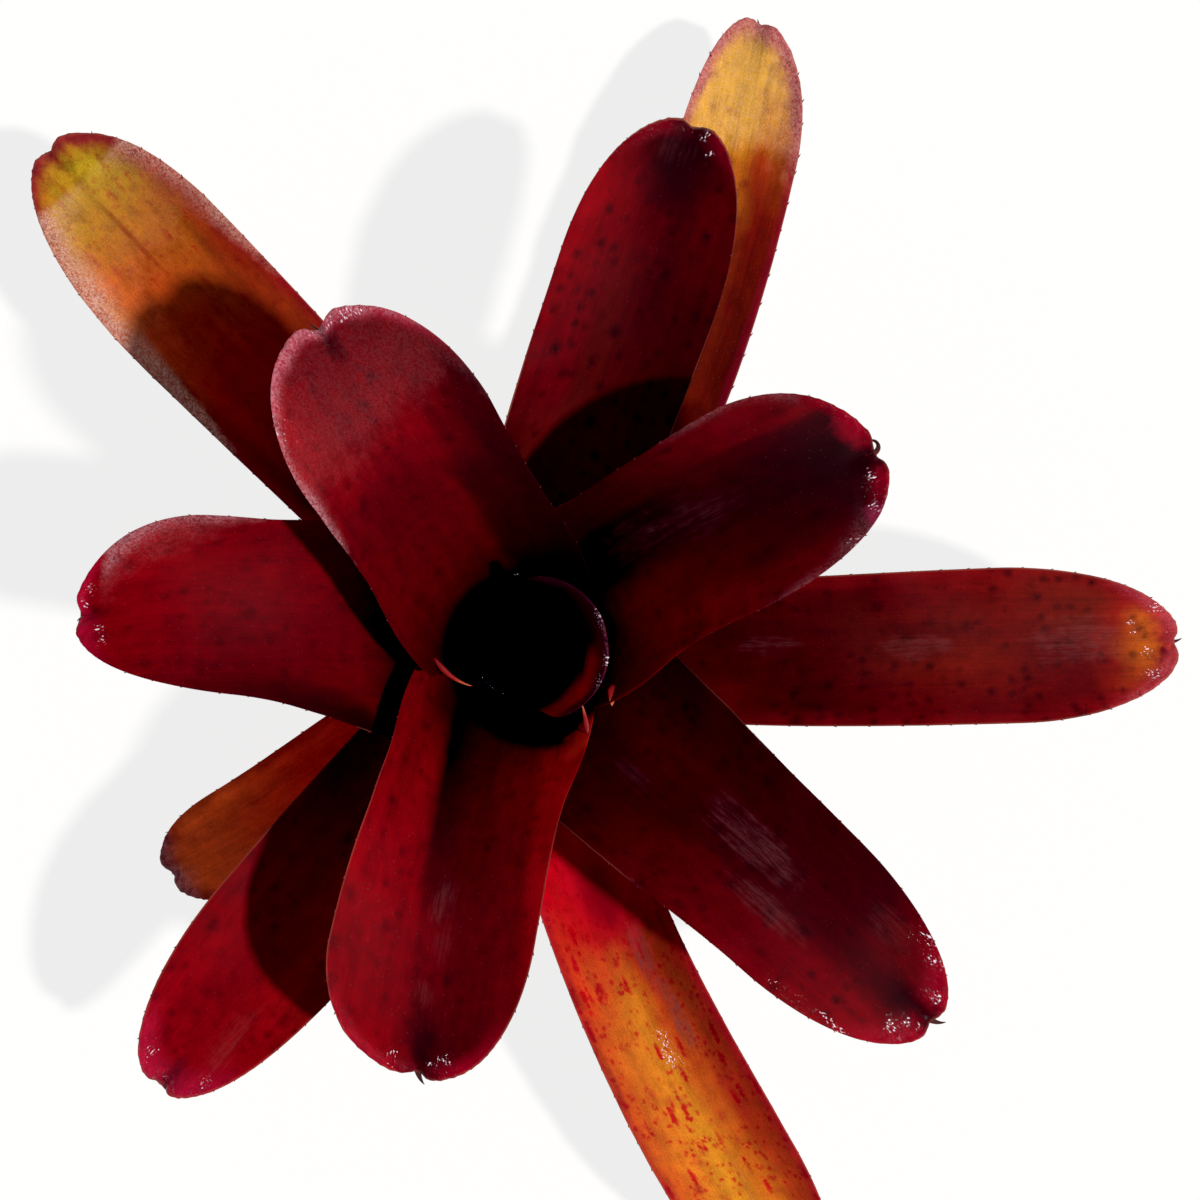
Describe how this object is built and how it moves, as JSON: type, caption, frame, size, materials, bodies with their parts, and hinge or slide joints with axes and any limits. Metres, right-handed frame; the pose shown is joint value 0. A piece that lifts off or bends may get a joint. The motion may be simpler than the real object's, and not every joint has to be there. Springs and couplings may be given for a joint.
{
  "type": "neoregelia bromeliad",
  "caption": "Cut bromeliad rosette: spiny strap leaves with spoon tips, nested in a spiral round a water-holding cup, on a short woody stem with a flat cut end.",
  "frame": {"origin": "centre of the stem's flat cut end, on the plant's axis", "axes": "+Z along the plant's axis, up out of the cup; +X near leaf_09, which points along it; +Y a quarter turn counter-clockwise from +X as seen from above"},
  "size_m": [0.303, 0.3484, 0.147],
  "materials": {
    "stem_wood": "dry brown woody stub with leaf scars",
    "heart_leaf": "wet, very dark red leaf tissue",
    "cup_leaf": "wet, glossy purple-red leaf tissue",
    "red_leaf": "waxy crimson leaf with a silvery bloom and dark spots",
    "dark_leaf": "waxy burgundy leaf with a grey sheen",
    "amber_leaf": "waxy leaf, orange-brown with maroon margins and spots",
    "orange_leaf": "waxy old leaf, amber and orange with red margins and dots"
  },
  "bodies": {
    "root": {"stem": "stem_wood", "heart_leaf_2": "heart_leaf", "heart_leaf_1": "heart_leaf", "leaf_01": "cup_leaf", "leaf_02": "red_leaf", "leaf_03": "red_leaf", "leaf_04": "dark_leaf", "leaf_05": "red_leaf", "leaf_06": "dark_leaf", "leaf_07": "red_leaf", "leaf_08": "red_leaf", "leaf_09": "amber_leaf", "leaf_10": "amber_leaf", "leaf_11": "orange_leaf", "leaf_12": "orange_leaf", "leaf_13": "orange_leaf"}
  },
  "joints": []
}
